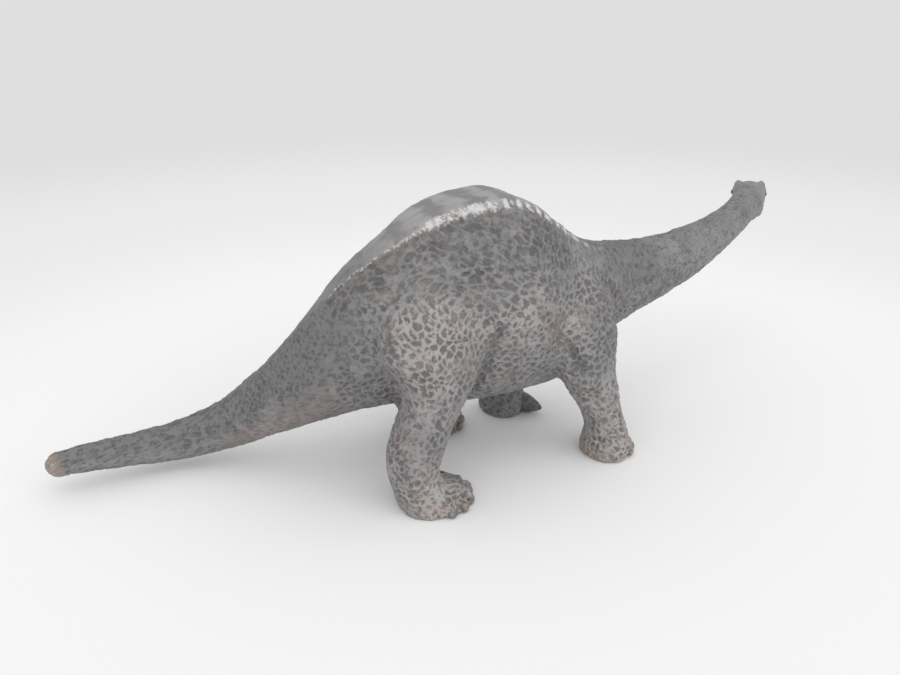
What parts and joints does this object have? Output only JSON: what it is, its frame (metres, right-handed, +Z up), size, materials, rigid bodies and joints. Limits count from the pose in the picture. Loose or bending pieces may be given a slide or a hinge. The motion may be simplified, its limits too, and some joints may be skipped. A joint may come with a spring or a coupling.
{
  "type": "toy dinosaur figure",
  "caption": "Grey moulded vinyl sauropod figure with a humped back, raised neck and low curved tail, standing on flat-soled striding legs.",
  "frame": {"origin": "on the ground under the middle of the figure's bounding box", "axes": "+X from the tail towards the head, +Y to the figure's left, +Z up"},
  "size_m": [0.4108, 0.1146, 0.1246],
  "materials": {
    "grey_vinyl": "satin"
  },
  "bodies": {
    "root": {"torso_left_shell": "grey_vinyl", "torso_right_shell": "grey_vinyl", "neck_and_head": "grey_vinyl", "tail": "grey_vinyl", "rear_right_leg": "grey_vinyl", "rear_left_leg": "grey_vinyl", "front_right_leg": "grey_vinyl", "front_left_leg": "grey_vinyl"}
  },
  "joints": []
}
